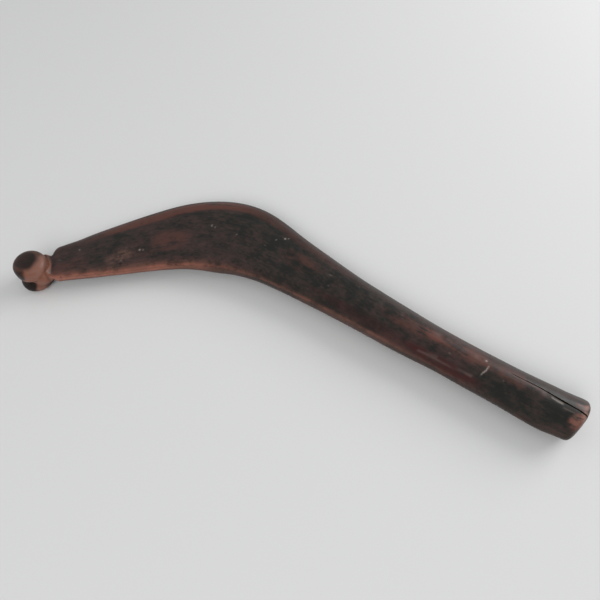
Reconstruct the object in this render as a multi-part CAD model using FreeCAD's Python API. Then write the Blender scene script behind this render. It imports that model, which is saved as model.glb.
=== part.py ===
# Carved throwing stick (boomerang of the non-returning kind), one piece of hardwood.
# Millimetres. +X runs along the chord from the knob to the blunt end, +Y points to the outer
# side of the elbow, +Z is up; the stick lies on its knob and on the underside of its limb.
import FreeCAD, Part
import math
import os
from FreeCAD import Vector as V

os.makedirs("parts", exist_ok=True)

# ---------------------------------------------------------------- driving dimensions
KNOB_X, KNOB_Y = -236.42, -59.17   # axis of the knob
KNOB_H = 31.9                      # height of the knob
KNOB_R_LOW, KNOB_R_TOP = 15.2, 14.8
KNOB_LOW_MID, KNOB_LOW_HALF = 5.0, 5.05
KNOB_TOP_MID, KNOB_TOP_HALF = 22.6, 9.3
KNOB_WAIST = ((10.8, 11.2), (10.7, 12.6))   # radius, height in the groove
KNOB_ROUND = 2.6                   # exponent of the lobes' rounding
LIMB_FLAT_Z = 0.0                  # the limb's underside is worn flat at this height

CHECK_DEPTH_END = 7.5              # drying crack: depth below the rim at the blunt end
CHECK_WIDTH_END = 1.4              # and its width there

# Control sections along the stick, from inside the knob to the blunt end.
# x, y of the centre line, heading in degrees, half width, underside z, top z, then the corner
# setbacks (across, down) of the near top, near bottom, far top and far bottom corners.
ROWS = [
    ( -239.93,  -61.23,  30.43,   8.53,   6.09,  21.83,  3.05,  3.05,  3.05,  3.05,  3.05,  3.05,  3.05,  3.05),
    ( -236.01,  -59.87,  30.43,  10.76,   4.67,  23.76,  3.05,  3.05,  3.05,  3.05,  3.05,  3.05,  3.05,  3.05),
    ( -232.51,  -57.81,  30.43,  12.39,   4.06,  24.37,  3.05,  3.05,  3.05,  3.05,  3.05,  3.05,  3.05,  3.05),
    ( -229.21,  -55.40,  30.43,  12.90,   4.47,  24.37,  3.05,  3.05,  3.05,  3.05,  3.05,  3.05,  3.05,  3.05),
    ( -227.22,  -53.58,  30.43,  12.54,   5.48,  24.07,  3.05,  3.05,  3.05,  3.05,  3.05,  3.05,  3.05,  3.05),
    ( -225.50,  -52.10,  30.43,  12.24,   7.01,  23.25,  3.05,  2.84,  3.05,  2.84,  3.25,  2.84,  3.05,  2.84),
    ( -224.09,  -51.10,  30.43,  11.98,   8.12,  21.93,  2.84,  2.64,  3.05,  2.64,  3.45,  2.84,  3.05,  2.84),
    ( -223.04,  -50.48,  30.43,  11.68,   8.73,  20.31,  2.64,  2.34,  3.05,  2.54,  3.66,  2.84,  3.45,  2.84),
    ( -222.37,  -49.62,  30.43,  12.69,   8.83,  19.29,  2.44,  2.03,  3.05,  2.54,  4.06,  2.94,  4.06,  3.05),
    ( -222.02,  -48.00,  30.43,  15.13,   8.53,  19.29,  2.44,  2.03,  3.05,  2.54,  4.67,  3.15,  4.47,  3.25),
    ( -221.01,  -46.11,  30.43,  17.26,   8.43,  19.50,  2.44,  2.03,  3.05,  2.54,  5.28,  3.35,  4.87,  3.35),
    ( -218.80,  -43.87,  30.43,  18.69,   8.43,  19.50,  2.44,  2.03,  3.05,  2.54,  6.30,  3.55,  5.48,  3.55),
    ( -215.14,  -41.47,  34.12,  19.05,   8.36,  19.51,  2.44,  2.03,  3.05,  2.54,  7.15,  3.95,  5.73,  3.75),
    ( -209.81,  -37.53,  35.42,  20.37,   8.30,  19.39,  2.44,  2.03,  3.05,  2.54,  8.01,  4.18,  6.28,  3.83),
    ( -202.11,  -32.49,  36.78,  21.99,   8.22,  18.88,  2.44,  2.03,  3.05,  2.54,  8.96,  4.43,  6.96,  3.94),
    ( -193.19,  -25.71,  37.42,  24.31,   8.11,  18.54,  2.45,  2.05,  3.07,  2.56,  9.89,  4.63,  7.77,  4.06),
    ( -182.54,  -18.04,  36.65,  26.55,   7.98,  18.36,  2.51,  2.10,  3.17,  2.63, 10.80,  4.80,  8.68,  4.20),
    ( -172.31,  -10.74,  35.09,  28.49,   7.84,  18.20,  2.58,  2.18,  3.32,  2.74, 11.59,  4.95,  9.53,  4.34),
    ( -161.87,   -3.48,  33.58,  30.39,   7.70,  18.06,  2.65,  2.24,  3.47,  2.86, 12.26,  5.10, 10.23,  4.49),
    ( -151.34,    3.62,  32.24,  32.27,   7.56,  18.22,  2.69,  2.29,  3.66,  2.98, 12.94,  5.25, 10.91,  4.64),
    ( -140.72,   10.58,  30.55,  34.23,   7.42,  18.56,  2.74,  2.33,  3.90,  3.13, 13.59,  5.39, 11.56,  4.79),
    ( -129.85,   17.14,  27.90,  36.24,   7.25,  19.03,  2.79,  2.38,  4.15,  3.30, 14.06,  5.54, 12.03,  4.94),
    ( -118.51,   22.95,  23.94,  38.18,   7.03,  19.56,  2.85,  2.45,  4.39,  3.47, 14.22,  5.71, 12.19,  5.10),
    ( -106.65,   27.91,  18.60,  39.87,   6.69,  20.02,  2.92,  2.52,  4.60,  3.64, 14.22,  5.88, 12.19,  5.23),
    (  -94.39,   31.62,  12.13,  41.02,   6.23,  20.47,  3.01,  2.61,  4.80,  3.82, 14.22,  6.06, 12.19,  5.36),
    (  -81.87,   33.65,   5.10,  41.31,   5.69,  20.93,  3.12,  2.72,  5.03,  4.04, 14.22,  6.27, 12.19,  5.52),
    (  -69.21,   34.17,  -1.63,  40.16,   5.11,  21.38,  3.27,  2.86,  5.32,  4.30, 14.22,  6.53, 12.18,  5.71),
    (  -56.44,   32.80,  -7.27,  37.94,   4.37,  21.71,  3.57,  3.11,  5.81,  4.73, 14.22,  6.92, 12.05,  6.04),
    (  -43.83,   30.00, -11.48,  35.38,   3.56,  21.94,  4.02,  3.47,  6.44,  5.29, 14.22,  7.42, 11.77,  6.48),
    (  -31.51,   26.49, -14.37,  32.85,   2.73,  22.17,  4.57,  3.89,  7.08,  5.86, 14.22,  7.93, 11.43,  6.94),
    (  -19.37,   22.73, -16.22,  30.74,   1.94,  22.49,  5.15,  4.32,  7.56,  6.35, 14.21,  8.38, 11.14,  7.36),
    (   -7.29,   18.91, -17.32,  29.00,   1.26,  22.91,  5.85,  4.79,  7.98,  6.81, 14.02,  8.77, 10.83,  7.74),
    (    4.76,   15.04, -17.84,  27.50,   0.64,  23.39,  6.68,  5.33,  8.36,  7.27, 13.66,  9.15, 10.50,  8.11),
    (   16.81,   11.14, -17.95,  26.20,   0.09,  23.91,  7.51,  5.87,  8.64,  7.60, 13.33,  9.49, 10.24,  8.46),
    (   28.88,    7.24, -17.82,  25.02,  -0.25,  24.44,  8.20,  6.35,  8.73,  7.72, 13.20,  9.78, 10.16,  8.77),
    (   40.98,    3.37, -17.59,  23.95,  -0.36,  25.07,  8.80,  6.81,  8.71,  7.68, 13.20, 10.04, 10.16,  9.07),
    (   53.09,   -0.45, -17.34,  22.98,  -0.36,  25.74,  9.36,  7.24,  8.68,  7.61, 13.20, 10.27, 10.16,  9.36),
    (   65.22,   -4.23, -17.11,  22.12,  -0.36,  26.21,  9.83,  7.64,  8.64,  7.54, 13.20, 10.46, 10.16,  9.60),
    (   77.35,   -7.97, -16.89,  21.38,  -0.36,  26.32, 10.19,  7.95,  8.63,  7.52, 13.20, 10.57, 10.16,  9.76),
    (   89.50,  -11.65, -16.71,  20.77,  -0.36,  26.37, 10.47,  8.21,  8.74,  7.62, 13.13, 10.63, 10.20,  9.88),
    (  101.65,  -15.32, -16.57,  20.36,  -0.36,  26.53, 10.70,  8.44,  8.98,  7.85, 12.99, 10.67, 10.31,  9.97),
    (  113.90,  -18.67, -16.45,  19.81,  -0.36,  26.68, 10.90,  8.65,  9.26,  8.13, 12.84, 10.70, 10.44, 10.05),
    (  126.23,  -21.73, -16.32,  19.14,  -0.36,  26.79, 11.07,  8.82,  9.52,  8.40, 12.72, 10.74, 10.58, 10.12),
    (  138.46,  -25.12, -16.11,  18.98,  -0.36,  26.89, 11.21,  8.99,  9.69,  8.58, 12.69, 10.78, 10.70, 10.17),
    (  150.64,  -28.65, -15.80,  19.10,  -0.36,  26.96, 11.33,  9.14,  9.81,  8.73, 12.69, 10.82, 10.80, 10.22),
    (  162.92,  -31.92, -15.41,  19.06,  -0.36,  27.03, 11.44,  9.29,  9.91,  8.86, 12.69, 10.86, 10.91, 10.26),
    (  175.16,  -34.99, -15.06,  18.98,  -0.36,  27.08, 11.53,  9.41, 10.01,  8.98, 12.69, 10.90, 11.01, 10.30),
    (  187.72,  -38.17, -14.92,  19.10,  -0.36,  27.14, 11.63,  9.51, 10.11,  9.09, 12.69, 10.95, 11.12, 10.34),
    (  199.01,  -41.24, -15.08,  19.51,  -0.36,  27.20, 11.73,  9.58, 10.21,  9.19, 12.70, 10.99, 11.23, 10.38),
    (  214.92,  -45.34, -15.54,  20.14,  -0.36,  27.27, 11.85,  9.64, 10.33,  9.30, 12.77, 11.04, 11.34, 10.43),
    (  220.66,  -46.57, -15.81,  20.21,  -0.36,  27.31, 11.81,  9.68, 10.30,  9.35, 12.72, 11.06, 11.30, 10.45),
    (  225.25,  -47.50, -15.81,  20.07,  -0.36,  27.31, 11.72,  9.68, 10.23,  9.35, 12.63, 11.06, 11.22, 10.45),
    (  230.37,  -48.10, -15.81,  19.69,  -0.36,  27.31, 11.50,  9.68, 10.03,  9.35, 12.39, 11.06, 11.02, 10.45),
    (  234.97,  -48.59, -15.81,  19.56,  -0.28,  27.24, 11.43,  9.63,  9.98,  9.30, 12.32, 11.01, 10.95, 10.40),
    (  238.43,  -49.05, -15.81,  19.72,  -0.05,  27.06, 11.52,  9.48, 10.05,  9.16, 12.41, 10.84, 11.03, 10.24),
    (  241.54,  -49.57, -15.81,  19.81,   0.41,  26.68, 11.58,  9.19, 10.09,  8.88, 12.47, 10.51, 11.09,  9.93),
    (  244.14,  -49.32, -15.81,  18.86,   1.01,  26.18, 11.02,  8.81,  9.61,  8.51, 11.88, 10.07, 10.56,  9.51),
    (  246.11,  -47.97, -15.81,  16.59,   1.77,  25.56,  9.70,  8.32,  8.45,  8.04, 10.44,  9.51,  9.28,  8.99),
    (  247.41,  -46.78, -15.81,  14.00,   2.84,  24.69,  8.18,  7.64,  7.13,  7.39,  8.81,  8.74,  7.83,  8.26),
    (  248.26,  -46.42, -15.81,  11.67,   4.21,  23.57,  6.82,  6.77,  5.95,  6.54,  7.35,  7.74,  6.53,  7.32),
    (  248.68,  -46.79, -15.81,   9.73,   5.88,  22.20,  5.68,  5.71,  4.96,  5.52,  6.13,  6.53,  5.45,  6.17),
    (  248.54,  -47.83, -15.81,   7.69,   7.71,  20.71,  4.49,  4.55,  3.92,  4.39,  4.84,  5.20,  4.30,  4.91),
]

# Drying crack: x, y, top of the wedge z, width, depth
CRACK = [
    (186.0, -32.2, 26.0, 0.12, 0.5),
    (191.3, -33.5, 26.0, 0.36, 1.2),
    (200.9, -35.8, 26.0, 0.58, 2.2),
    (207.2, -37.3, 26.0, 0.72, 2.9),
    (213.2, -38.9, 26.1, 0.84, 3.6),
    (218.6, -40.8, 26.4, 0.93, 4.2),
    (225.4, -43.0, 26.6, 1.03, 5.0),
    (231.7, -45.0, 26.8, 1.12, 5.8),
    (236.3, -46.5, 26.9, CHECK_WIDTH_END * 0.87, 6.5),
    (241.0, -47.9, 26.6, CHECK_WIDTH_END * 0.95, CHECK_DEPTH_END),
    (245.0, -49.1, 25.6, CHECK_WIDTH_END, CHECK_DEPTH_END + 0.6),
    (248.6, -50.2, 23.8, CHECK_WIDTH_END, CHECK_DEPTH_END + 0.8),
    (253.0, -51.6, 22.0, CHECK_WIDTH_END * 1.05, CHECK_DEPTH_END + 0.8),
]


# ---------------------------------------------------------------- the stick's skin
def ramp(x, a, b):
    t = min(max((x - a) / (b - a), 0.0), 1.0)
    return t * t * (3 - 2 * t)


def crease(x):
    """How closely the skin follows the near top corner: crisper from the elbow along the limb."""
    return 0.75 + 0.13 * ramp(x, -120, -60) * (1 - ramp(x, 190, 240))


def section(row):
    """Sixteen poles round one control section."""
    x, y, phi, a, zb, zt, ntx, ntz, nbx, nbz, ftx, ftz, fbx, fbz = row
    c = [(-a + nbx, zb), (-a, zb + nbz), (-a, zt - ntz), (-a + ntx, zt),
         (a - ftx, zt), (a, zt - ftz), (a, zb + fbz), (a - fbx, zb)]
    q = []
    for i in range(8):
        p, n = c[i], c[(i + 1) % 8]
        q.append((0.75 * p[0] + 0.25 * n[0], 0.75 * p[1] + 0.25 * n[1]))
        q.append((0.25 * p[0] + 0.75 * n[0], 0.25 * p[1] + 0.75 * n[1]))
    w = crease(x)
    q[3] = ((1 - w) * c[1][0] + w * c[2][0], (1 - w) * c[1][1] + w * c[2][1])
    q[4] = (w * c[2][0] + (1 - w) * c[3][0], w * c[2][1] + (1 - w) * c[3][1])
    f = math.radians(phi)
    nx, ny = -math.sin(f), math.cos(f)
    return [V(x + nx * s, y + ny * s, z) for s, z in q]


net = [section(r) for r in ROWS]          # rows x 16
n_rows = len(net)
poles = [[net[j][i] for j in range(n_rows)] for i in range(16)]
skin = Part.BSplineSurface()
skin.buildFromPolesMultsKnots(
    poles,
    [1] * 17, [4] + [1] * (n_rows - 4) + [4],
    [float(i) for i in range(17)], [float(i) for i in range(n_rows - 2)],
    True, False, 3, 3)
side = skin.toShape()


def cap(v):
    curve = skin.vIso(v)
    return Part.Face(Part.Wire([curve.toShape()]))


faces = [side, cap(0.0), cap(float(n_rows - 3))]
shell = Part.Shell(faces)
shell.sewShape()
body = Part.makeSolid(Part.Shell(shell.Faces))
if body.Volume < 0:
    body.reverse()


# ---------------------------------------------------------------- the knob
def lobe(radius, mid, half, t0, t1, count):
    out = []
    e = 2.0 / KNOB_ROUND
    for i in range(count):
        t = t0 + (t1 - t0) * i / (count - 1)
        r = radius * abs(math.cos(t)) ** e
        z = mid + half * math.copysign(abs(math.sin(t)) ** e, math.sin(t))
        out.append(V(r, 0, max(z, 0.0)))
    return out


def spline(points):
    c = Part.BSplineCurve()
    c.interpolate(points)
    return c.toShape()


low = lobe(KNOB_R_LOW, KNOB_LOW_MID, KNOB_LOW_HALF, -1.30, 0.95, 16)
low[0] = V(low[0].x, 0, 0)
top = lobe(KNOB_R_TOP, KNOB_TOP_MID, KNOB_TOP_HALF, -0.95, 1.45, 18)
w0, w1 = V(KNOB_WAIST[0][0], 0, KNOB_WAIST[0][1]), V(KNOB_WAIST[1][0], 0, KNOB_WAIST[1][1])
summit = V(0, 0, KNOB_H)
edges = [
    Part.makeLine(V(0, 0, 0), low[0]),
    spline(low),
    spline([low[-1], w0, w1, top[0]]),
    spline(top),
    Part.makeLine(top[-1], summit),
    Part.makeLine(summit, V(0, 0, 0)),
]
knob = Part.Face(Part.Wire(edges)).revolve(V(0, 0, 0), V(0, 0, 1), 360)
knob.translate(V(KNOB_X, KNOB_Y, 0))

stick = body.fuse(knob)

# ---------------------------------------------------------------- flat underside of the limb
below = Part.makeBox(700, 400, 20, V(-350, -200, LIMB_FLAT_Z - 20))
stick = stick.cut(below)


# ---------------------------------------------------------------- drying crack at the blunt end
def wedge(i):
    x, y, z, w, d = CRACK[i]
    a, b = CRACK[max(i - 1, 0)], CRACK[min(i + 1, len(CRACK) - 1)]
    l = math.hypot(b[0] - a[0], b[1] - a[1])
    nx, ny = -(b[1] - a[1]) / l, (b[0] - a[0]) / l
    up = 3.0
    h = w / 2 * (d + up) / d
    pts = [V(x + nx * h, y + ny * h, z + up), V(x - nx * h, y - ny * h, z + up), V(x, y, z - d)]
    return Part.makePolygon(pts + [pts[0]])


crack = Part.makeLoft([wedge(i) for i in range(len(CRACK))], True, True)
stick = stick.cut(crack)

if stick.ShapeType != "Solid":
    stick = max(stick.Solids, key=lambda s: s.Volume)

stick.exportStep("parts/stick.step")

b = stick.BoundBox
m = stick.CenterOfMass
print("stick valid=%s volume=%.1f mm3" % (stick.isValid(), stick.Volume))
print("box x %.2f..%.2f y %.2f..%.2f z %.2f..%.2f" % (b.XMin, b.XMax, b.YMin, b.YMax, b.ZMin, b.ZMax))
print("centre of mass %.2f %.2f %.2f  faces %d" % (m.x, m.y, m.z, len(stick.Faces)))
for f in stick.Faces:
    if isinstance(f.Surface, Part.Plane):
        c = f.BoundBox
        print("plane n=%s area %.1f x %.1f..%.1f y %.1f..%.1f z %.2f..%.2f" % (
            tuple(round(t, 2) for t in f.normalAt(0, 0)), f.Area, c.XMin, c.XMax, c.YMin, c.YMax, c.ZMin, c.ZMax))
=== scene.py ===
import bpy
import bmesh
import math
import numpy as np
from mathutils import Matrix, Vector, kdtree


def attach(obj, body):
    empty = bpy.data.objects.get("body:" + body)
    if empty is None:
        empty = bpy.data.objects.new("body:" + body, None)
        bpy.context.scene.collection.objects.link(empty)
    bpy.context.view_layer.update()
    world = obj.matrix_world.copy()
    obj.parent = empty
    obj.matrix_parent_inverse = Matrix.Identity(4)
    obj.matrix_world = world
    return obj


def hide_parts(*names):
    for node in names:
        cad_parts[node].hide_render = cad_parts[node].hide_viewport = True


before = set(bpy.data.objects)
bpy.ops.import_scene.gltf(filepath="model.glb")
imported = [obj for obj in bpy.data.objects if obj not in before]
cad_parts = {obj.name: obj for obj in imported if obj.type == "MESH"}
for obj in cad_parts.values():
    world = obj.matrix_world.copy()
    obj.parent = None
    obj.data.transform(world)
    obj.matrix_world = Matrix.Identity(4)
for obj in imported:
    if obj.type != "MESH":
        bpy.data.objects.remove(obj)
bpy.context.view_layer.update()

# ---------------------------------------------------------------- the stick's shape, in mm
# The same control sections as the CAD: x, y, heading, half width, underside z, top z, then the
# corner setbacks (across, down) of the near top, near bottom, far top and far bottom corners.
ROWS = np.array([
    ( -239.93,  -61.23,  30.43,   8.53,   6.09,  21.83,  3.05,  3.05,  3.05,  3.05,  3.05,  3.05,  3.05,  3.05),
    ( -236.01,  -59.87,  30.43,  10.76,   4.67,  23.76,  3.05,  3.05,  3.05,  3.05,  3.05,  3.05,  3.05,  3.05),
    ( -232.51,  -57.81,  30.43,  12.39,   4.06,  24.37,  3.05,  3.05,  3.05,  3.05,  3.05,  3.05,  3.05,  3.05),
    ( -229.21,  -55.40,  30.43,  12.90,   4.47,  24.37,  3.05,  3.05,  3.05,  3.05,  3.05,  3.05,  3.05,  3.05),
    ( -227.22,  -53.58,  30.43,  12.54,   5.48,  24.07,  3.05,  3.05,  3.05,  3.05,  3.05,  3.05,  3.05,  3.05),
    ( -225.50,  -52.10,  30.43,  12.24,   7.01,  23.25,  3.05,  2.84,  3.05,  2.84,  3.25,  2.84,  3.05,  2.84),
    ( -224.09,  -51.10,  30.43,  11.98,   8.12,  21.93,  2.84,  2.64,  3.05,  2.64,  3.45,  2.84,  3.05,  2.84),
    ( -223.04,  -50.48,  30.43,  11.68,   8.73,  20.31,  2.64,  2.34,  3.05,  2.54,  3.66,  2.84,  3.45,  2.84),
    ( -222.37,  -49.62,  30.43,  12.69,   8.83,  19.29,  2.44,  2.03,  3.05,  2.54,  4.06,  2.94,  4.06,  3.05),
    ( -222.02,  -48.00,  30.43,  15.13,   8.53,  19.29,  2.44,  2.03,  3.05,  2.54,  4.67,  3.15,  4.47,  3.25),
    ( -221.01,  -46.11,  30.43,  17.26,   8.43,  19.50,  2.44,  2.03,  3.05,  2.54,  5.28,  3.35,  4.87,  3.35),
    ( -218.80,  -43.87,  30.43,  18.69,   8.43,  19.50,  2.44,  2.03,  3.05,  2.54,  6.30,  3.55,  5.48,  3.55),
    ( -215.14,  -41.47,  34.12,  19.05,   8.36,  19.51,  2.44,  2.03,  3.05,  2.54,  7.15,  3.95,  5.73,  3.75),
    ( -209.81,  -37.53,  35.42,  20.37,   8.30,  19.39,  2.44,  2.03,  3.05,  2.54,  8.01,  4.18,  6.28,  3.83),
    ( -202.11,  -32.49,  36.78,  21.99,   8.22,  18.88,  2.44,  2.03,  3.05,  2.54,  8.96,  4.43,  6.96,  3.94),
    ( -193.19,  -25.71,  37.42,  24.31,   8.11,  18.54,  2.45,  2.05,  3.07,  2.56,  9.89,  4.63,  7.77,  4.06),
    ( -182.54,  -18.04,  36.65,  26.55,   7.98,  18.36,  2.51,  2.10,  3.17,  2.63, 10.80,  4.80,  8.68,  4.20),
    ( -172.31,  -10.74,  35.09,  28.49,   7.84,  18.20,  2.58,  2.18,  3.32,  2.74, 11.59,  4.95,  9.53,  4.34),
    ( -161.87,   -3.48,  33.58,  30.39,   7.70,  18.06,  2.65,  2.24,  3.47,  2.86, 12.26,  5.10, 10.23,  4.49),
    ( -151.34,    3.62,  32.24,  32.27,   7.56,  18.22,  2.69,  2.29,  3.66,  2.98, 12.94,  5.25, 10.91,  4.64),
    ( -140.72,   10.58,  30.55,  34.23,   7.42,  18.56,  2.74,  2.33,  3.90,  3.13, 13.59,  5.39, 11.56,  4.79),
    ( -129.85,   17.14,  27.90,  36.24,   7.25,  19.03,  2.79,  2.38,  4.15,  3.30, 14.06,  5.54, 12.03,  4.94),
    ( -118.51,   22.95,  23.94,  38.18,   7.03,  19.56,  2.85,  2.45,  4.39,  3.47, 14.22,  5.71, 12.19,  5.10),
    ( -106.65,   27.91,  18.60,  39.87,   6.69,  20.02,  2.92,  2.52,  4.60,  3.64, 14.22,  5.88, 12.19,  5.23),
    (  -94.39,   31.62,  12.13,  41.02,   6.23,  20.47,  3.01,  2.61,  4.80,  3.82, 14.22,  6.06, 12.19,  5.36),
    (  -81.87,   33.65,   5.10,  41.31,   5.69,  20.93,  3.12,  2.72,  5.03,  4.04, 14.22,  6.27, 12.19,  5.52),
    (  -69.21,   34.17,  -1.63,  40.16,   5.11,  21.38,  3.27,  2.86,  5.32,  4.30, 14.22,  6.53, 12.18,  5.71),
    (  -56.44,   32.80,  -7.27,  37.94,   4.37,  21.71,  3.57,  3.11,  5.81,  4.73, 14.22,  6.92, 12.05,  6.04),
    (  -43.83,   30.00, -11.48,  35.38,   3.56,  21.94,  4.02,  3.47,  6.44,  5.29, 14.22,  7.42, 11.77,  6.48),
    (  -31.51,   26.49, -14.37,  32.85,   2.73,  22.17,  4.57,  3.89,  7.08,  5.86, 14.22,  7.93, 11.43,  6.94),
    (  -19.37,   22.73, -16.22,  30.74,   1.94,  22.49,  5.15,  4.32,  7.56,  6.35, 14.21,  8.38, 11.14,  7.36),
    (   -7.29,   18.91, -17.32,  29.00,   1.26,  22.91,  5.85,  4.79,  7.98,  6.81, 14.02,  8.77, 10.83,  7.74),
    (    4.76,   15.04, -17.84,  27.50,   0.64,  23.39,  6.68,  5.33,  8.36,  7.27, 13.66,  9.15, 10.50,  8.11),
    (   16.81,   11.14, -17.95,  26.20,   0.09,  23.91,  7.51,  5.87,  8.64,  7.60, 13.33,  9.49, 10.24,  8.46),
    (   28.88,    7.24, -17.82,  25.02,  -0.25,  24.44,  8.20,  6.35,  8.73,  7.72, 13.20,  9.78, 10.16,  8.77),
    (   40.98,    3.37, -17.59,  23.95,  -0.36,  25.07,  8.80,  6.81,  8.71,  7.68, 13.20, 10.04, 10.16,  9.07),
    (   53.09,   -0.45, -17.34,  22.98,  -0.36,  25.74,  9.36,  7.24,  8.68,  7.61, 13.20, 10.27, 10.16,  9.36),
    (   65.22,   -4.23, -17.11,  22.12,  -0.36,  26.21,  9.83,  7.64,  8.64,  7.54, 13.20, 10.46, 10.16,  9.60),
    (   77.35,   -7.97, -16.89,  21.38,  -0.36,  26.32, 10.19,  7.95,  8.63,  7.52, 13.20, 10.57, 10.16,  9.76),
    (   89.50,  -11.65, -16.71,  20.77,  -0.36,  26.37, 10.47,  8.21,  8.74,  7.62, 13.13, 10.63, 10.20,  9.88),
    (  101.65,  -15.32, -16.57,  20.36,  -0.36,  26.53, 10.70,  8.44,  8.98,  7.85, 12.99, 10.67, 10.31,  9.97),
    (  113.90,  -18.67, -16.45,  19.81,  -0.36,  26.68, 10.90,  8.65,  9.26,  8.13, 12.84, 10.70, 10.44, 10.05),
    (  126.23,  -21.73, -16.32,  19.14,  -0.36,  26.79, 11.07,  8.82,  9.52,  8.40, 12.72, 10.74, 10.58, 10.12),
    (  138.46,  -25.12, -16.11,  18.98,  -0.36,  26.89, 11.21,  8.99,  9.69,  8.58, 12.69, 10.78, 10.70, 10.17),
    (  150.64,  -28.65, -15.80,  19.10,  -0.36,  26.96, 11.33,  9.14,  9.81,  8.73, 12.69, 10.82, 10.80, 10.22),
    (  162.92,  -31.92, -15.41,  19.06,  -0.36,  27.03, 11.44,  9.29,  9.91,  8.86, 12.69, 10.86, 10.91, 10.26),
    (  175.16,  -34.99, -15.06,  18.98,  -0.36,  27.08, 11.53,  9.41, 10.01,  8.98, 12.69, 10.90, 11.01, 10.30),
    (  187.72,  -38.17, -14.92,  19.10,  -0.36,  27.14, 11.63,  9.51, 10.11,  9.09, 12.69, 10.95, 11.12, 10.34),
    (  199.01,  -41.24, -15.08,  19.51,  -0.36,  27.20, 11.73,  9.58, 10.21,  9.19, 12.70, 10.99, 11.23, 10.38),
    (  214.92,  -45.34, -15.54,  20.14,  -0.36,  27.27, 11.85,  9.64, 10.33,  9.30, 12.77, 11.04, 11.34, 10.43),
    (  220.66,  -46.57, -15.81,  20.21,  -0.36,  27.31, 11.81,  9.68, 10.30,  9.35, 12.72, 11.06, 11.30, 10.45),
    (  225.25,  -47.50, -15.81,  20.07,  -0.36,  27.31, 11.72,  9.68, 10.23,  9.35, 12.63, 11.06, 11.22, 10.45),
    (  230.37,  -48.10, -15.81,  19.69,  -0.36,  27.31, 11.50,  9.68, 10.03,  9.35, 12.39, 11.06, 11.02, 10.45),
    (  234.97,  -48.59, -15.81,  19.56,  -0.28,  27.24, 11.43,  9.63,  9.98,  9.30, 12.32, 11.01, 10.95, 10.40),
    (  238.43,  -49.05, -15.81,  19.72,  -0.05,  27.06, 11.52,  9.48, 10.05,  9.16, 12.41, 10.84, 11.03, 10.24),
    (  241.54,  -49.57, -15.81,  19.81,   0.41,  26.68, 11.58,  9.19, 10.09,  8.88, 12.47, 10.51, 11.09,  9.93),
    (  244.14,  -49.32, -15.81,  18.86,   1.01,  26.18, 11.02,  8.81,  9.61,  8.51, 11.88, 10.07, 10.56,  9.51),
    (  246.11,  -47.97, -15.81,  16.59,   1.77,  25.56,  9.70,  8.32,  8.45,  8.04, 10.44,  9.51,  9.28,  8.99),
    (  247.41,  -46.78, -15.81,  14.00,   2.84,  24.69,  8.18,  7.64,  7.13,  7.39,  8.81,  8.74,  7.83,  8.26),
    (  248.26,  -46.42, -15.81,  11.67,   4.21,  23.57,  6.82,  6.77,  5.95,  6.54,  7.35,  7.74,  6.53,  7.32),
    (  248.68,  -46.79, -15.81,   9.73,   5.88,  22.20,  5.68,  5.71,  4.96,  5.52,  6.13,  6.53,  5.45,  6.17),
    (  248.54,  -47.83, -15.81,   7.69,   7.71,  20.71,  4.49,  4.55,  3.92,  4.39,  4.84,  5.20,  4.30,  4.91),
])
KNOB = (-236.42, -59.17)
KNOB_H, KNOB_R_LOW, KNOB_R_TOP, KNOB_ROUND = 31.9, 15.2, 14.8, 2.6
CRACK = [  # x, y, top of the wedge z, width, depth
    (186.0, -32.2, 26.0, 0.12, 0.5),
    (191.3, -33.5, 26.0, 0.36, 1.2),
    (200.9, -35.8, 26.0, 0.58, 2.2),
    (207.2, -37.3, 26.0, 0.72, 2.9),
    (213.2, -38.9, 26.1, 0.84, 3.6),
    (218.6, -40.8, 26.4, 0.93, 4.2),
    (225.4, -43.0, 26.6, 1.03, 5.0),
    (231.7, -45.0, 26.8, 1.12, 5.8),
    (236.3, -46.5, 26.9, 1.22, 6.5),
    (241.0, -47.9, 26.6, 1.33, 7.5),
    (245.0, -49.1, 25.6, 1.40, 8.1),
    (248.6, -50.2, 23.8, 1.40, 8.3),
    (253.0, -51.6, 22.0, 1.47, 8.3),
]
MM = 0.001


def ramp(x, a, b):
    t = min(max((x - a) / (b - a), 0.0), 1.0)
    return t * t * (3 - 2 * t)


def section(row):
    x, y, phi, a, zb, zt, ntx, ntz, nbx, nbz, ftx, ftz, fbx, fbz = row
    c = np.array([(-a + nbx, zb), (-a, zb + nbz), (-a, zt - ntz), (-a + ntx, zt),
                  (a - ftx, zt), (a, zt - ftz), (a, zb + fbz), (a - fbx, zb)])
    n = np.roll(c, -1, 0)
    q = np.empty((16, 2))
    q[0::2] = 0.75 * c + 0.25 * n
    q[1::2] = 0.25 * c + 0.75 * n
    w = 0.75 + 0.13 * ramp(x, -120, -60) * (1 - ramp(x, 190, 240))
    q[3] = (1 - w) * c[1] + w * c[2]
    q[4] = w * c[2] + (1 - w) * c[3]
    f = math.radians(phi)
    return np.c_[x - math.sin(f) * q[:, 0], y + math.cos(f) * q[:, 0], q[:, 1]]


def clamped_basis(m, x):
    k = np.r_[[0] * 3, np.arange(m - 2), [m - 3] * 3].astype(float)
    x = np.clip(x, 0, m - 3 - 1e-9)
    b = ((x[:, None] >= k[None, :-1]) & (x[:, None] < k[None, 1:])).astype(float)
    for d in range(1, 4):
        n = len(k) - 1 - d
        nb = np.zeros((len(x), n))
        for i in range(n):
            if k[i + d] > k[i]:
                nb[:, i] += (x - k[i]) / (k[i + d] - k[i]) * b[:, i]
            if k[i + d + 1] > k[i + 1]:
                nb[:, i] += (k[i + d + 1] - x) / (k[i + d + 1] - k[i + 1]) * b[:, i + 1]
        b = nb
    return b


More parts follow.
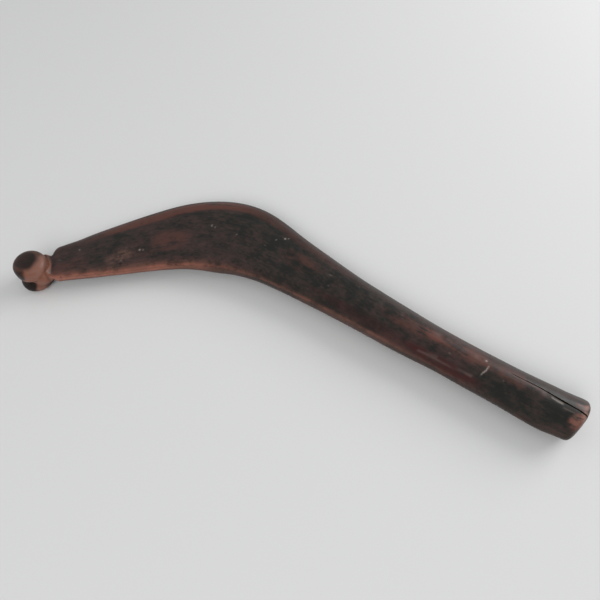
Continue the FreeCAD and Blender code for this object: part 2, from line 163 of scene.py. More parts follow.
def ring_basis(m, x):
    i = np.floor(x).astype(int)
    f = x - i
    b = np.zeros((len(x), m))
    for k, w in zip((-1, 0, 1, 2), ((1 - f) ** 3 / 6, (3 * f ** 3 - 6 * f ** 2 + 4) / 6,
                                    (-3 * f ** 3 + 3 * f ** 2 + 3 * f + 1) / 6, f ** 3 / 6)):
        np.add.at(b, (np.arange(len(x)), (i + k) % m), w)
    return b


def smooth01(x, a, b):
    t = np.clip((x - a) / (b - a), 0, 1)
    return t * t * (3 - 2 * t)


class Waves:
    """A smooth repeatable field: cosines in seeded directions. About -1..1."""

    def __init__(self, seed, wavelength, count=28, stretch=(1, 1, 1)):
        r = np.random.RandomState(seed)
        d = r.normal(size=(count, 3))
        d /= np.linalg.norm(d, axis=1, keepdims=True)
        self.k = d * (2 * math.pi / (wavelength * r.uniform(0.7, 1.5, (count, 1)))) / np.array(stretch)
        self.p = r.uniform(0, 2 * math.pi, count)
        self.g = math.sqrt(2.0 / count)

    def __call__(self, p):
        return (np.cos(p @ self.k.T + self.p) * self.g).sum(1)


NET = np.array([section(r) for r in ROWS])
M = len(NET)
xf = np.linspace(0, M - 3, 6001)
B = clamped_basis(M, xf)
# sample rows by how far the skin moves, so the rounded end is sampled as finely as the limb
coarse = np.einsum("vi,ijk->vjk", B, NET)
step = np.linalg.norm(np.diff(coarse, axis=0), axis=2)
cum = np.r_[0, np.cumsum(0.5 * step.mean(1) + 0.5 * step.max(1))]
NV = int(cum[-1] / 0.76)
xv = np.interp(np.linspace(0, cum[-1], NV), cum, xf)
BV = clamped_basis(M, xv)
rows = np.einsum("vi,ijk->vjk", BV, NET)              # NV x 16 x 3
row_par = BV @ ROWS                                   # smoothed section numbers per row
centre = rows.mean(1)
path = np.r_[0, np.cumsum(np.linalg.norm(np.diff(row_par[:, :2], axis=0), axis=1))]

SEG = [(1.5, 3.5, 12), (3.5, 4.5, 4), (4.5, 5.5, 4), (5.5, 7.5, 38), (7.5, 9.5, 14), (9.5, 11.5, 8),
       (11.5, 13.5, 10), (13.5, 15.5, 24), (15.5, 17.5, 8)]
NU = sum(s[2] for s in SEG)
FINE = 40
grid = np.empty((NV, NU, 3))
uu = np.empty((NV, NU))
col = 0
for u0, u1, n in SEG:
    u = np.linspace(u0, u1, FINE * max(1, int(u1 - u0)) + 1)
    pts = np.einsum("uj,vjk->vuk", ring_basis(16, u % 16), rows)
    ln = np.concatenate([np.zeros((NV, 1)), np.cumsum(np.linalg.norm(np.diff(pts, axis=1), axis=2), axis=1)], 1)
    for v in range(NV):
        t = np.interp(np.linspace(0, ln[v, -1], n, endpoint=False), ln[v], u)
        uu[v, col:col + n] = t
        for k in range(3):
            grid[v, col:col + n, k] = np.interp(t, u, pts[v, :, k])
    col += n

# outward normals of the grid
du = np.roll(grid, -1, 1) - np.roll(grid, 1, 1)
dv = np.gradient(grid, axis=0)
nrm = np.cross(dv, du)
ln = np.linalg.norm(nrm, axis=2, keepdims=True)
nrm /= np.maximum(ln, 1e-9)
if ((grid - grid.mean(1, keepdims=True)) * nrm).sum() < 0:
    nrm = -nrm
nrm[-1] = nrm[-2]

head = np.radians(row_par[:, 2])
tang = np.c_[np.cos(head), np.sin(head)]
side = np.c_[-np.sin(head), np.cos(head)]
q = ((grid[..., :2] - row_par[:, None, :2]) * side[:, None]).sum(2)      # across, + to the outer side
S = np.repeat(path[:, None], NU, 1)
A = np.repeat(row_par[:, 3:4], NU, 1)
ZB, ZT = np.repeat(row_par[:, 4:5], NU, 1), np.repeat(row_par[:, 5:6], NU, 1)
NTX = np.repeat(row_par[:, 6:7], NU, 1)
FTX, FTZ = np.repeat(row_par[:, 10:11], NU, 1), np.repeat(row_par[:, 11:12], NU, 1)

# hand-carved unevenness: long soft waves, finer ripples along the grain, knocks along the edges
sp = np.stack([S, q, grid[..., 2] * 1.5], -1).reshape(-1, 3)
long_wave = Waves(3, 42, stretch=(1.6, 1, 1))(sp).reshape(NV, NU)
ripple = Waves(5, 9, stretch=(4, 1, 1))(sp).reshape(NV, NU)
knock = Waves(8, 13, stretch=(1, 1, 1))(sp).reshape(NV, NU)
edge_near = np.exp(-((uu - 4.5) / 0.9) ** 2)
edge_far = np.exp(-((uu - 7.6) / 1.0) ** 2)
amp_end = smooth01(S, 4, 24)
move = amp_end * (0.16 * long_wave + 0.045 * ripple
                  - 0.30 * np.maximum(knock - 0.75, 0) * (edge_near + 0.5 * edge_far))
grid = grid + nrm * move[..., None]
grid[..., 2] = np.maximum(grid[..., 2], 0.0)


def mesh_from(name, verts, faces):
    me = bpy.data.meshes.new(name)
    me.from_pydata([tuple(v) for v in verts], [], faces)
    me.update()
    ob = bpy.data.objects.new(name, me)
    bpy.context.scene.collection.objects.link(ob)
    return ob


verts = list(grid.reshape(-1, 3))
faces = []
for v in range(NV - 1):
    a, b = v * NU, (v + 1) * NU
    for u in range(NU):
        w = (u + 1) % NU
        faces.append((a + u, a + w, b + w, b + u))
faces.append(tuple(reversed(range(NU))))
# the small flat at the blunt end, as rings
last = grid[-1]
mid = last.mean(0)
prev = [(NV - 1) * NU + u for u in range(NU)]
for f in (0.72, 0.45, 0.2):
    start = len(verts)
    verts += [mid + (p - mid) * f for p in last]
    cur = [start + u for u in range(NU)]
    for u in range(NU):
        w = (u + 1) % NU
        faces.append((prev[u], prev[w], cur[w], cur[u]))
    prev = cur
faces.append(tuple(prev))
stick = mesh_from("skin", verts, faces)
bm = bmesh.new()
bm.from_mesh(stick.data)
bmesh.ops.recalc_face_normals(bm, faces=bm.faces)
bm.to_mesh(stick.data)
bm.free()


# ---------------------------------------------------------------- knob
def lobe(radius, mid_z, half, t0, t1, count):
    e = 2.0 / KNOB_ROUND
    out = []
    for t in np.linspace(t0, t1, count):
        out.append((radius * abs(math.cos(t)) ** e,
                    max(0.0, mid_z + half * math.copysign(abs(math.sin(t)) ** e, math.sin(t)))))
    return out


profile = lobe(KNOB_R_LOW, 5.0, 5.05, -1.30, 0.95, 22)
profile[0] = (profile[0][0], 0.0)
top_lobe = lobe(KNOB_R_TOP, 22.6, 9.3, -0.95, 1.48, 34)
p0, p1 = profile[-1], top_lobe[0]
for t in np.linspace(0, 1, 9)[1:-1]:
    # the groove between the lobes, a soft hollow
    r = (1 - t) ** 2 * p0[0] + 2 * t * (1 - t) * 10.2 + t ** 2 * p1[0]
    profile.append((r, (1 - t) * p0[1] + t * p1[1]))
profile += top_lobe
SEGS = 120
kv, kf = [(0.0, 0.0, 0.0)], []
for r, z in profile:
    for i in range(SEGS):
        t = 2 * math.pi * i / SEGS
        kv.append((r * math.cos(t), r * math.sin(t), z))
kv.append((0.0, 0.0, KNOB_H))
n = len(profile)
for i in range(SEGS):
    j = (i + 1) % SEGS
    kf.append((0, 1 + j, 1 + i))
    for k in range(n - 1):
        a, b = 1 + k * SEGS, 1 + (k + 1) * SEGS
        kf.append((a + i, a + j, b + j, b + i))
    kf.append((1 + (n - 1) * SEGS + i, 1 + (n - 1) * SEGS + j, len(kv) - 1))
kv = np.array(kv)
ksp = kv.copy()
ksp[:, 2] *= 1.2
kr = np.hypot(kv[:, 0], kv[:, 1])
dirs = kv * np.array([1, 1, 0])
dirs /= np.maximum(np.linalg.norm(dirs, axis=1, keepdims=True), 1e-6)
kv = kv + dirs * (0.22 * Waves(11, 22)(ksp) * smooth01(kr, 3, 9) * smooth01(kv[:, 2], 0.3, 2.0))[:, None]
kv[:, 0] += KNOB[0]
kv[:, 1] += KNOB[1]
knob = mesh_from("knob", kv, kf)
bm = bmesh.new()
bm.from_mesh(knob.data)
bmesh.ops.recalc_face_normals(bm, faces=bm.faces)
bm.to_mesh(knob.data)
bm.free()

# ---------------------------------------------------------------- drying crack
rnd = np.random.RandomState(21)
pts = np.array(CRACK)
t = np.r_[0, np.cumsum(np.hypot(*np.diff(pts[:, :2], axis=0).T))]
tt = np.arange(0, t[-1], 1.7)
cr = np.stack([np.interp(tt, t, pts[:, k]) for k in range(5)], 1)
j = rnd.normal(size=(len(tt), 3))
j = (j + np.roll(j, 1, 0) + np.roll(j, -1, 0)) / 2.2
cr[:, :2] += j[:, :2] * 0.07
cr[:, 3] *= 1 + 0.22 * j[:, 2]
wv, wf = [], []
for i in range(len(cr)):
    x, y, z, w, d = cr[i]
    a, b = cr[max(i - 1, 0)], cr[min(i + 1, len(cr) - 1)]
    l = math.hypot(b[0] - a[0], b[1] - a[1])
    nx, ny = -(b[1] - a[1]) / l, (b[0] - a[0]) / l
    h = w / 2 * (d + 3.0) / d
    wv += [(x + nx * h, y + ny * h, z + 3.0), (x - nx * h, y - ny * h, z + 3.0), (x, y, z - d)]
    if i:
        p, c = 3 * (i - 1), 3 * i
        for m in range(3):
            k = (m + 1) % 3
            wf.append((p + m, c + m, c + k, p + k))
wf += [(0, 1, 2), (3 * len(cr) - 1, 3 * len(cr) - 2, 3 * len(cr) - 3)]
wedge = mesh_from("wedge", wv, wf)
bm = bmesh.new()
bm.from_mesh(wedge.data)
bmesh.ops.recalc_face_normals(bm, faces=bm.faces)
bm.to_mesh(wedge.data)
bm.free()

# material numbers tell the regions apart after the joins: 0 skin, 1 knob, 2 crack walls
marks = [bpy.data.materials.new("mark%d" % i) for i in range(3)]
for ob, idx in ((stick, 0), (knob, 1), (wedge, 2)):
    for m in marks:
        ob.data.materials.append(m)
    ob.data.polygons.foreach_set("material_index", [idx] * len(ob.data.polygons))


def boolean(ob, other, how):
    mod = ob.modifiers.new("b", "BOOLEAN")
    mod.operation = how
    mod.solver = "EXACT"
    mod.object = other
    mod.material_mode = "INDEX"
    deps = bpy.context.evaluated_depsgraph_get()
    me = bpy.data.meshes.new_from_object(ob.evaluated_get(deps))
    ob.modifiers.clear()
    old = ob.data
    ob.data = me
    bpy.data.meshes.remove(old)
    bpy.data.objects.remove(other)


boolean(stick, knob, "UNION")

# soften the carved corner where the neck runs into the knob
bm = bmesh.new()
bm.from_mesh(stick.data)
seam = [v.co.copy() for v in bm.verts if len({f.material_index for f in v.link_faces}) > 1]
kd = kdtree.KDTree(len(seam))
for i, c in enumerate(seam):
    kd.insert(c, i)
kd.balance()
zone = []
for v in bm.verts:
    if (v.co - Vector((KNOB[0], KNOB[1], 15))).length < 32:
        d = kd.find(v.co)[2]
        if d < 2.6:
            zone.append((v, (1 - d / 2.6) ** 1.0))
for _ in range(14):
    new = []
    for v, w in zone:
        around = [e.other_vert(v).co for e in v.link_edges]
        m = sum(around, Vector()) / len(around)
        new.append(v.co.lerp(m, 0.6 * w))
    for (v, w), c in zip(zone, new):
        v.co = c
bm.to_mesh(stick.data)
bm.free()

boolean(stick, wedge, "DIFFERENCE")

# ---------------------------------------------------------------- where each vertex lies on the stick
me = stick.data
N = len(me.vertices)
co = np.empty(N * 3)
me.vertices.foreach_get("co", co)
co = co.reshape(-1, 3)
vn = np.empty(N * 3)
me.vertices.foreach_get("normal", vn)
vn = vn.reshape(-1, 3)
kd = kdtree.KDTree(NV * NU)
flat = grid.reshape(-1, 3)
for i in range(len(flat)):
    kd.insert(flat[i], i)
kd.balance()
near = np.array([kd.find(c)[1] for c in co])
s_ = S.reshape(-1)[near]
a_ = A.reshape(-1)[near]
u_ = uu.reshape(-1)[near]
zt_ = ZT.reshape(-1)[near]
zb_ = ZB.reshape(-1)[near]
ntx_ = NTX.reshape(-1)[near]
ftx_ = FTX.reshape(-1)[near]
ftz_ = FTZ.reshape(-1)[near]
rowi = near // NU
q_ = ((co[:, :2] - row_par[rowi, :2]) * side[rowi]).sum(1)
z_ = co[:, 2]
kx, ky = co[:, 0] - KNOB[0], co[:, 1] - KNOB[1]
kr_ = np.hypot(kx, ky)
on_knob = (kr_ < 17) & (s_ < 20)
grain = np.stack([s_, q_, z_], -1)
inner = np.zeros(N)
walls = set()
for p in me.polygons:
    if p.material_index == 2:
        walls.update(p.vertices)
inner[list(walls)] = 1.0

# ---------------------------------------------------------------- small wounds, moved in the mesh, and painted glints
dent = np.zeros(N)
pale = np.zeros(N)
hole = np.zeros(N)


def spot(x, y, r, depth, light=0.0, dark=0.0, along=1.0, angle=0.0, z0=5):
    c, s = math.cos(math.radians(angle)), math.sin(math.radians(angle))
    dx, dy = co[:, 0] - x, co[:, 1] - y
    d = np.sqrt(((c * dx + s * dy) / along) ** 2 + (-s * dx + c * dy) ** 2) / r
    f = np.exp(-d ** 2 * 1.6) * (z_ > z0) * (vn[:, 2] > 0.05)
    global dent, pale, hole
    dent += depth * f
    pale = np.maximum(pale, light * np.clip(f * 1.3, 0, 1))
    hole = np.maximum(hole, dark * np.clip(f * 1.3, 0, 1))


def stroke(points, r, depth, light=0.0, dark=0.0):
    best = np.full(N, 1e9)
    for (x0, y0), (x1, y1) in zip(points[:-1], points[1:]):
        dx, dy = x1 - x0, y1 - y0
        t = np.clip(((co[:, 0] - x0) * dx + (co[:, 1] - y0) * dy) / (dx * dx + dy * dy), 0, 1)
        best = np.minimum(best, np.hypot(co[:, 0] - x0 - t * dx, co[:, 1] - y0 - t * dy))
    f = np.exp(-(best / r) ** 2 * 1.4) * (vn[:, 2] > 0.2)
    global dent, pale, hole
    dent += depth * f
    pale = np.maximum(pale, light * np.clip(f * 1.2, 0, 1))
    hole = np.maximum(hole, dark * np.clip(f * 1.2, 0, 1))


spot(-164.3, -29.5, 1.6, 0.55, dark=0.9)
# The pale specks along the blade, the light spots up to the next dark pit, are painted glints set in shallow dents.
spot(-165.3, -26.0, 1.0, 0.15, light=0.2)
spot(-154.0, -10.2, 0.9, 0.25, light=0.75)
spot(-151.0, -9.2, 0.8, 0.18, light=0.3)
spot(-206.5, -27.5, 0.9, 0.18, light=0.35)
spot(-100.3, 34.9, 0.9, 0.2, light=0.8)
spot(-96.6, 33.6, 0.7, 0.15, light=0.5)
spot(-74.1, 32.0, 0.9, 0.16, light=0.3)
spot(-36.9, 36.9, 0.8, 0.18, light=0.45)
spot(-29.4, 41.0, 1.0, 0.22, light=0.7)
spot(-26.5, 42.0, 0.7, 0.15, light=0.5)
spot(-39.3, 0.7, 1.3, 0.6, dark=0.95)
spot(165.8, -27.5, 0.9, 0.35, light=0.95)
stroke([(168.0, -32.0), (166.6, -36.0), (163.2, -40.5)], 0.55, 0.22, light=0.6)
stroke([(111.1, -33.1), (122.0, -35.6), (136.0, -38.6), (146.0, -40.8), (156.7, -42.9)], 0.75, 0.10, light=0.12)
stroke([(118.0, -32.0), (127.0, -35.2)], 0.7, 0.08, light=0.08)
stroke([(219.5, -43.2), (223.5, -44.6), (227.0, -45.6)], 1.0, 0.40, light=0.40)
stroke([(228.0, -49.0), (236.0, -50.6)], 0.6, 0.12, light=0.10)
stroke([(196.0, -60.5), (207.0, -63.0)], 0.7, 0.35, dark=0.5)
# scattered small handling marks
marks_rnd = np.random.RandomState(77)
for _ in range(70):
    i = marks_rnd.randint(0, N)
    if vn[i, 2] > 0.3 and s_[i] > 26:
        r = marks_rnd.uniform(0.35, 0.8)
        ang = math.degrees(head[rowi[i]]) + marks_rnd.normal() * 25
        spot(co[i, 0], co[i, 1], r, marks_rnd.uniform(0.05, 0.16), light=marks_rnd.choice([0, 0, 0.08, 0.16]),
             dark=marks_rnd.choice([0, 0.3, 0.6]), along=marks_rnd.uniform(1.0, 3.5), angle=ang)
co_new = co - vn * dent[:, None]
co_new[:, 2] = np.maximum(co_new[:, 2], 0.0)
def knots(x, pairs):
    xs, ys = zip(*pairs)
    return np.interp(x, xs, ys)


X = co[:, 0]
# distance round the section from the near crest and from the inner line of the outer bevel
arc = np.concatenate([np.zeros((NV, 1)), np.cumsum(np.linalg.norm(np.diff(grid, axis=1), axis=2), axis=1)], 1)
u_crest = knots(row_par[:, 0], ((-225, 3.9), (-175, 3.9), (-150, 4.3), (-75, 4.35), (-48, 3.9), (-18, 3.5), (250, 3.4)))
near_arc = np.array([np.interp(u_crest[v], uu[v], arc[v]) for v in range(NV)])
far_arc = np.array([np.interp(8.0, uu[v], arc[v]) for v in range(NV)])
d_near = (arc - near_arc[:, None]).reshape(-1)[near]      # + towards the top
d_far = (arc - far_arc[:, None]).reshape(-1)[near]        # + outwards, down the bevel
upper = smooth01(u_, 3.0, 4.2) * (1 - smooth01(u_, 10.2, 11.4))
skirt = knots(X, ((-224, 0.35), (-100, 0.4), (-60, 0.4), (-20, 0.2), (60, 0.12), (240, 0.1)))
# the near crest is coloured as worn edge and also as a painted highlight of the ridge: a thin bright orange line
crest = np.where(d_near > 0, (1 - skirt) * np.exp(-(d_near / 1.5) ** 2) + skirt * np.exp(-(d_near / 5.5) ** 2),
                 np.exp(-(d_near / 1.6) ** 2))
crest *= knots(X, ((-224, 0.9), (-215, 1.0), (-150, 1.0), (-100, 0.75), (-75, 0.45), (-48, 0.32), (-18, 0.36), (22, 0.45),
                   (69, 0.42), (100, 0.27), (115, 0.2), (158, 0.1), (200, 0.06), (240, 0.1)))
below = smooth01(-d_near, 0.2, 2.2) * (1 - smooth01(-d_near, 14, 20)) * (u_ < 6)
tint = knots(X, ((-224, 1.0), (-205, 1.0), (-190, 0.85), (-150, 0.9), (-110, 0.5), (-75, 0.18), (-40, 0.02), (0, 0.05),
                 (40, 0.2), (80, 0.12), (120, 0.0), (250, 0.0)))
bevel = smooth01(d_far, -4.5, -0.5) * (1 - smooth01(d_far, 7.5, 11.5)) * upper
bevel *= knots(X, ((-222, 0.12), (-205, 0.3), (-185, 0.75), (-95, 0.85), (-60, 0.4), (-30, 0.3), (10, 0.3), (60, 0.15)))
under = 1 - smooth01(u_, 1.6, 2.8) + smooth01(u_, 11.0, 12.2)
under = np.clip(under, 0, 1)

# knob regions, by direction from its axis
fr = (kx * 0.308 - ky * 0.951) / np.maximum(kr_, 0.1)       # towards the inner side of the bend
rt = (kx * 0.951 + ky * 0.308) / np.maximum(kr_, 0.1)       # towards the neck
knobz = (1 - smooth01(kr_, 15.8, 17.5)) * (s_ < 24)
neck = smooth01(s_, 2, 8) * (1 - smooth01(s_, 18.2, 19.8)) * (1 - knobz) * (kr_ > 12)
kn = np.clip(knobz + neck, 0, 1)
wob = 2.2 * Waves(41, 11)(co)
dome = knobz * (1 - smooth01(kr_ + 2.2 * rt + 1.2 * fr + 0.2 * wob, 8.0, 13.0)) * smooth01(z_, 23, 28)
# painted shade: the knob's side away from the window light, and the lower lobe where it sits under the neck, are
# painted near black
knob_shade = knobz * (1 - dome) * np.maximum(smooth01(0.632 * fr - 0.775 * rt + 0.04 * wob, np.where(z_ < 12, 0.35, 0.58), np.where(z_ < 12, 0.65, 0.88)), 0.8 * smooth01(-fr + 0.05 * wob, 0.2, 0.8))
knob_shade = np.maximum(knob_shade, 0.8 * knobz * smooth01(-z_, -11, -7) * smooth01(rt, 0.55, 0.9))
# painted shade in the groove between the lobes, on the knob's shaded side
groove = knobz * np.exp(-((z_ - 12.0) / 2.6) ** 2) * smooth01(-rt, -0.25, 0.35)
seam_kd = kdtree.KDTree(len(seam))
for i, c in enumerate(seam):
    seam_kd.insert(c, i)
seam_kd.balance()
d_seam = np.full(N, 99.0)
for i in np.where((kr_ < 26) & (s_ < 30))[0]:
    d_seam[i] = seam_kd.find(co[i])[2]
# painted shade in the crease where the neck meets the knob, and a painted shadow line of the carved shoulder across the
# neck
grime = 0.22 * np.exp(-(d_seam / 1.3) ** 2) + 0.45 * np.exp(-((s_ - 16.9) / 1.0) ** 2) * (kr_ > 13)
grime = np.clip(grime, 0, 1)

# broad tone of the upper face: 0 near black, 1 brown
tone = knots(X, ((-222, 0.75), (-205, 0.62), (-185, 0.25), (-165, 0.5), (-145, 0.42), (-120, 0.55), (-95, 0.35), (-60, 0.22),
                 (-30, 0.22), (20, 0.12), (60, 0.2), (95, 0.5), (125, 0.5), (150, 0.55), (180, 0.12), (200, 0.0), (222, 0.0), (240, 0.15)))


def patch(x, y, rx, ry, angle, soft=1.0):
    c, s = math.cos(math.radians(angle)), math.sin(math.radians(angle))
    dx, dy = co[:, 0] - x, co[:, 1] - y
    d = np.sqrt(((c * dx + s * dy) / rx) ** 2 + ((-s * dx + c * dy) / ry) ** 2)
    return (1 - smooth01(d, 1 - 0.5 * soft, 1 + 0.5 * soft)) * (vn[:, 2] > -0.1) * (z_ > 5)


tan = np.zeros(N)
rust = np.zeros(N)
broken = Waves(31, 7.0, stretch=(3, 1, 1))(np.stack([s_, q_, z_], -1))
# worn reddish and tan places, and the dark red band low on the limb's inner side
tan = np.maximum(tan, 1.0 * patch(-168.0, -22.0, 12, 6.5, 52))
tan = np.maximum(tan, 0.6 * patch(-166.0, -33.0, 6, 3.5, 20))
tan = np.maximum(tan, 0.45 * patch(-148.0, -28.0, 9, 3.5, 25))
rust = np.maximum(rust, 0.42 * patch(-132.0, 8.0, 17, 11, 30))
rust = np.maximum(rust, 0.3 * patch(-205.0, -44.0, 12, 6, 30))
rust = np.maximum(rust, 0.22 * patch(-150.0, -8.0, 13, 8, 10))
rust = np.maximum(rust, 0.35 * patch(-8.0, 20.0, 18, 8, -20))
rust = np.maximum(rust, 0.45 * patch(100.0, -14.0, 26, 6, -16))
rust = np.maximum(rust, 1.0 * patch(120.0, -18.0, 14, 4.0, -17))
rust = np.maximum(rust, 0.8 * patch(150.0, -25.0, 24, 6.5, -15))
rust = np.maximum(rust, 0.45 * patch(190.0, -36.0, 26, 6, -15))
rust = np.maximum(rust, 2.5 * patch(239.5, -56.0, 4.5, 6.0, -60))
rust = np.maximum(rust, 1.8 * patch(243.0, -42.0, 5, 4.0, 0))
wine = 0.95 * patch(130.0, -38.2, 34, 3.6, -15, 0.8)
wine = np.maximum(wine, 0.4 * patch(60.0, -18.5, 50, 4.0, -17))
# rubbed reddish wear along the blunt end's top edge
rim = np.exp(-((co[:, 0] * 0.962 - co[:, 1] * 0.272 - 249.0) / 2.6) ** 2) * smooth01(z_, 17, 24)
rim *= 0.75 * np.clip(0.5 + 0.5 * broken, 0.15, 1)
# a painted highlight on the end's rim beside the crack
rim = np.maximum(rim, 0.9 * patch(243.4, -50.2, 1.8, 3.6, -15))
rim = np.maximum(rim, 0.42 * patch(239.5, -56.0, 4.5, 6.0, -60))

wear = np.clip(crest, 0, 1)
attrs = {
    "wear": wear, "below": below, "tint": tint, "bevel": bevel, "under": under * (1 - kn), "knob": kn, "dome": dome, "kback": knob_shade,
    "grime": np.clip(grime + 0.8 * groove, 0, 1), "tone": np.clip(tone, 0, 1), "tan": tan, "rust": rust, "pale": pale, "hole": hole,
    "inner": inner, "wine": wine, "rim": rim,
}

co_new *= MM
me.vertices.foreach_set("co", co_new.reshape(-1))
me.update()
for p in me.polygons:
    p.use_smooth = True
me.set_sharp_from_angle(angle=math.radians(50))
stick.name = "carved_stick"
me.name = "carved_stick"
for k, v in attrs.items():
    a = me.attributes.new(k, "FLOAT", "POINT")
    a.data.foreach_set("value", np.asarray(v, dtype=np.float32))
a = me.attributes.new("grain", "FLOAT_VECTOR", "POINT")
a.data.foreach_set("vector", (grain * MM).astype(np.float32).reshape(-1))
me.materials.clear()

mat = bpy.data.materials.new("old_hardwood")
mat.use_nodes = True
nt = mat.node_tree
nt.nodes.clear()
out = nt.nodes.new("ShaderNodeOutputMaterial")
bsdf = nt.nodes.new("ShaderNodeBsdfPrincipled")
nt.links.new(bsdf.outputs["BSDF"], out.inputs["Surface"])


def attr(name):
    n = nt.nodes.new("ShaderNodeAttribute")
    n.attribute_name = name
    return n.outputs["Vector"] if name == "grain" else n.outputs["Fac"]


def put(socket, v):
    if hasattr(v, "is_linked"):
        nt.links.new(v, socket)
    else:
        socket.default_value = v


def math_(op, a, b=0.0, clamp=False):
    n = nt.nodes.new("ShaderNodeMath")
    n.operation = op
    n.use_clamp = clamp
    put(n.inputs[0], a)
    put(n.inputs[1], b)
    return n.outputs[0]


def noise(scale, stretch=(1, 1, 1), detail=4.0, rough=0.55, offset=(0, 0, 0)):
    m = nt.nodes.new("ShaderNodeMapping")
    nt.links.new(attr("grain"), m.inputs["Vector"])
    m.inputs["Scale"].default_value = stretch
    m.inputs["Location"].default_value = offset
    n = nt.nodes.new("ShaderNodeTexNoise")
    n.inputs["Scale"].default_value = scale
    n.inputs["Detail"].default_value = detail
    n.inputs["Roughness"].default_value = rough
    nt.links.new(m.outputs[0], n.inputs["Vector"])
    return n.outputs["Fac"]


def remap(v, a, b, c=0.0, d=1.0):
    n = nt.nodes.new("ShaderNodeMapRange")
    n.interpolation_type = "SMOOTHSTEP"
    put(n.inputs["Value"], v)
    n.inputs["From Min"].default_value = a
    n.inputs["From Max"].default_value = b
    n.inputs["To Min"].default_value = c
    n.inputs["To Max"].default_value = d
    return n.outputs["Result"]


def mix(f, a, b):
    n = nt.nodes.new("ShaderNodeMix")
    n.data_type = "RGBA"
    put(n.inputs[0], f)
    put(n.inputs[6], a if hasattr(a, "is_linked") else (*a, 1))
    put(n.inputs[7], b if hasattr(b, "is_linked") else (*b, 1))
    return n.outputs[2]


mottle = noise(85, (0.8, 1, 1), 5, 0.6)                 # blotches about 10 mm across
fine = noise(420, (0.5, 1, 1), 4, 0.65, (3, 1, 2))      # specks about 2 mm across
streak = noise(300, (0.07, 1, 1), 3, 0.6, (1, 5, 0))    # wood grain along the stick
big = noise(26, (0.7, 1, 1), 3, 0.5, (7, 2, 4))         # broad changes

NEAR_BLACK = (0.0138, 0.0140, 0.0120)
GREENISH = (0.0150, 0.0182, 0.0145)
BROWN = (0.058, 0.0315, 0.0285)
RED_BROWN = (0.120, 0.040, 0.028)
ORANGE = (0.32, 0.120, 0.080)
PINK = (0.36, 0.150, 0.105)
TAN = (0.115, 0.062, 0.048)
PALE = (0.50, 0.42, 0.37)
WINE = (0.050, 0.010, 0.009)
DEEP = (0.012, 0.0055, 0.004)
GREY_BROWN = (0.027, 0.018, 0.014)
SIDE_RED = (0.42, 0.165, 0.110)

dark = mix(remap(mottle, 0.42, 0.6), NEAR_BLACK, GREENISH)
tone = math_("ADD", attr("tone"), math_("MULTIPLY", math_("SUBTRACT", mottle, 0.5), 2.3))
tone = math_("ADD", tone, math_("MULTIPLY", math_("SUBTRACT", big, 0.5), 1.3))
tone = math_("ADD", tone, math_("MULTIPLY", math_("SUBTRACT", streak, 0.5), 0.7))
tone = math_("ADD", tone, math_("MULTIPLY", math_("SUBTRACT", fine, 0.5), 2.2), True)
c = mix(tone, dark, BROWN)
c = mix(math_("MULTIPLY", attr("rust"), remap(math_("ADD", mottle, math_("MULTIPLY", math_("SUBTRACT", streak, 0.5), 0.9)), 0.33, 0.62)), c, RED_BROWN)
c = mix(math_("MULTIPLY", attr("wine"), remap(mottle, 0.3, 0.6, 0.5, 1.0)), c, WINE)
bev = math_("MULTIPLY", attr("bevel"), remap(math_("ADD", mottle, math_("MULTIPLY", math_("SUBTRACT", streak, 0.5), 0.3)), 0.22, 0.46))
c = mix(bev, c, RED_BROWN)
side_c = mix(math_("ADD", attr("tint"), math_("MULTIPLY", math_("SUBTRACT", mottle, 0.5), 0.5), True), GREY_BROWN, SIDE_RED)
c = mix(math_("MULTIPLY", attr("below"), remap(fine, 0.2, 0.7, 0.6, 1.0)), c, side_c)
# orange on the near crest: worn edge colour plus a painted highlight along the ridge
wr = math_("MULTIPLY", attr("wear"), remap(math_("ADD", mottle, math_("MULTIPLY", math_("SUBTRACT", fine, 0.5), 0.5)), 0.28, 0.62, 0.35, 1.0), True)
c = mix(wr, c, ORANGE)
c = mix(math_("MULTIPLY", attr("tan"), remap(math_("ADD", fine, math_("MULTIPLY", math_("SUBTRACT", mottle, 0.5), 0.8)), 0.36, 0.62, 0.25, 1.0)), c, TAN)
kc = mix(remap(math_("ADD", mottle, math_("MULTIPLY", math_("SUBTRACT", fine, 0.5), 0.5)), 0.35, 0.62), (0.235, 0.083, 0.046), (0.245, 0.118, 0.088))
c = mix(math_("MULTIPLY", attr("knob"), 0.92), c, kc)
# painted shade on the knob's shaded side and under the neck
c = mix(math_("MULTIPLY", attr("kback"), remap(mottle, 0.25, 0.6, 0.90, 1.0)), c, (0.016, 0.010, 0.008))
c = mix(math_("MULTIPLY", attr("dome"), remap(mottle, 0.25, 0.6, 0.8, 1.0)), c, (0.018, 0.011, 0.009))
# painted shade in the knob's crease, groove and shoulder line
c = mix(math_("MULTIPLY", attr("grime"), 0.85), c, DEEP)
c = mix(math_("MULTIPLY", attr("under"), 0.6), c, BROWN)
# end rim: worn colour, and a painted highlight near the crack
c = mix(math_("MULTIPLY", attr("rim"), remap(fine, 0.35, 0.6, 0.25, 1.0)), c, (0.33, 0.17, 0.13))
c = mix(attr("hole"), c, DEEP)
# pale bared wood in scratches and chips, and painted glints on the blade's specks
c = mix(math_("MULTIPLY", attr("pale"), remap(fine, 0.25, 0.6, 0.45, 1.0)), c, PALE)
# painted shade: the crack walls are painted near black
c = mix(math_("MULTIPLY", attr("inner"), 0.9), c, DEEP)
nt.links.new(c, bsdf.inputs["Base Color"])

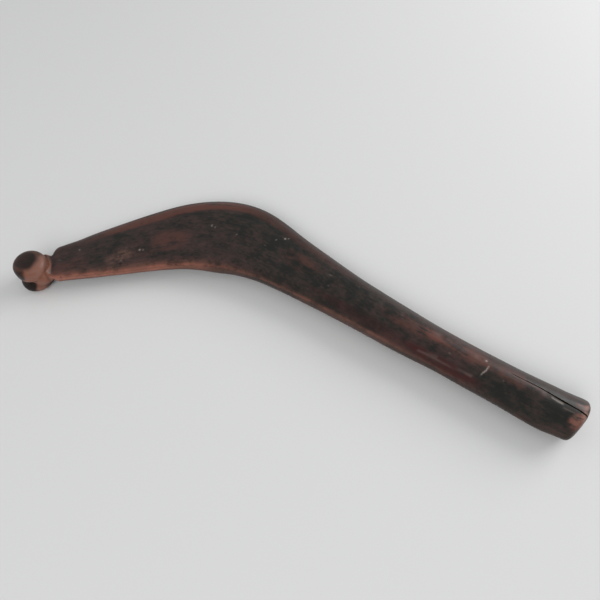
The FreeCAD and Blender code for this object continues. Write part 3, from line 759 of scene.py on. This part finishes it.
rough = math_("ADD", 0.40, math_("MULTIPLY", math_("SUBTRACT", mottle, 0.5), 0.35))
rough = math_("ADD", rough, math_("MULTIPLY", math_("SUBTRACT", fine, 0.5), 0.25))
rough = math_("SUBTRACT", rough, math_("MULTIPLY", attr("wear"), 0.08))
rough = math_("ADD", rough, math_("MULTIPLY", attr("inner"), 0.4))
rough = math_("ADD", rough, math_("MULTIPLY", attr("pale"), 0.25))
rough = math_("MINIMUM", math_("MAXIMUM", rough, 0.24), 0.9)
nt.links.new(rough, bsdf.inputs["Roughness"])
bsdf.inputs["Specular IOR Level"].default_value = 0.28

h = math_("ADD", math_("MULTIPLY", streak, 0.55), math_("MULTIPLY", fine, 0.45))
bump = nt.nodes.new("ShaderNodeBump")
bump.inputs["Strength"].default_value = 0.35
bump.inputs["Distance"].default_value = 0.0006
nt.links.new(h, bump.inputs["Height"])
nt.links.new(bump.outputs[0], bsdf.inputs["Normal"])
me.materials.append(mat)
for p in me.polygons:
    p.material_index = 0

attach(stick, "root")
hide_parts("stick")
# ---------------------------------------------------------------- floor, light, camera
floor_mesh = bpy.data.meshes.new("floor")
floor_mesh.from_pydata([(-4, -4, 0), (4, -4, 0), (4, 4, 0), (-4, 4, 0)], [], [(0, 1, 2, 3)])
floor = bpy.data.objects.new("floor", floor_mesh)
bpy.context.scene.collection.objects.link(floor)
fm = bpy.data.materials.new("pale_floor")
fm.use_nodes = True
fb = fm.node_tree.nodes["Principled BSDF"]
fb.inputs["Base Color"].default_value = (0.80, 0.80, 0.795, 1)
fb.inputs["Roughness"].default_value = 0.85
fb.inputs["Specular IOR Level"].default_value = 0.2
floor_mesh.materials.append(fm)

world = bpy.data.worlds.new("studio")
bpy.context.scene.world = world
world.use_nodes = True
bg = world.node_tree.nodes["Background"]
bg.inputs["Color"].default_value = (0.98, 0.99, 1.0, 1)
bg.inputs["Strength"].default_value = 0.46

HEAD = math.radians(17.93)
RIGHT = Vector((math.cos(HEAD), math.sin(HEAD), 0))
AWAY = Vector((-math.sin(HEAD), math.cos(HEAD), 0))


def softbox(name, right, away, up, size, power, aim=(0, 0, 0)):
    d = bpy.data.lights.new(name, "AREA")
    d.shape = "RECTANGLE"
    d.size, d.size_y = size
    d.energy = power
    o = bpy.data.objects.new(name, d)
    bpy.context.scene.collection.objects.link(o)
    p = RIGHT * right + AWAY * away + Vector((0, 0, up))
    o.location = p
    o.rotation_euler = (p - Vector(aim)).to_track_quat("Z", "Y").to_euler()
    return o


softbox("window", 1.4, 0.7, 0.75, (1.1, 0.8), 17)
fill = softbox("front_fill", -0.5, -1.3, 1.2, (1.3, 0.8), 9.5)
fill.visible_glossy = False
softbox("left_window", -1.5, 0.2, 0.8, (0.5, 0.5), 0.6)

cam = bpy.data.cameras.new("camera")
cam.sensor_width = 36
cam.lens = 33.6
cam.dof.use_dof = False
camera = bpy.data.objects.new("camera", cam)
bpy.context.scene.collection.objects.link(camera)
camera.location = (0.07870, -0.24864, 0.44245)
camera.rotation_euler = (math.radians(30), 0, HEAD)
bpy.context.scene.camera = camera
bpy.context.scene.view_settings.view_transform = "Standard"
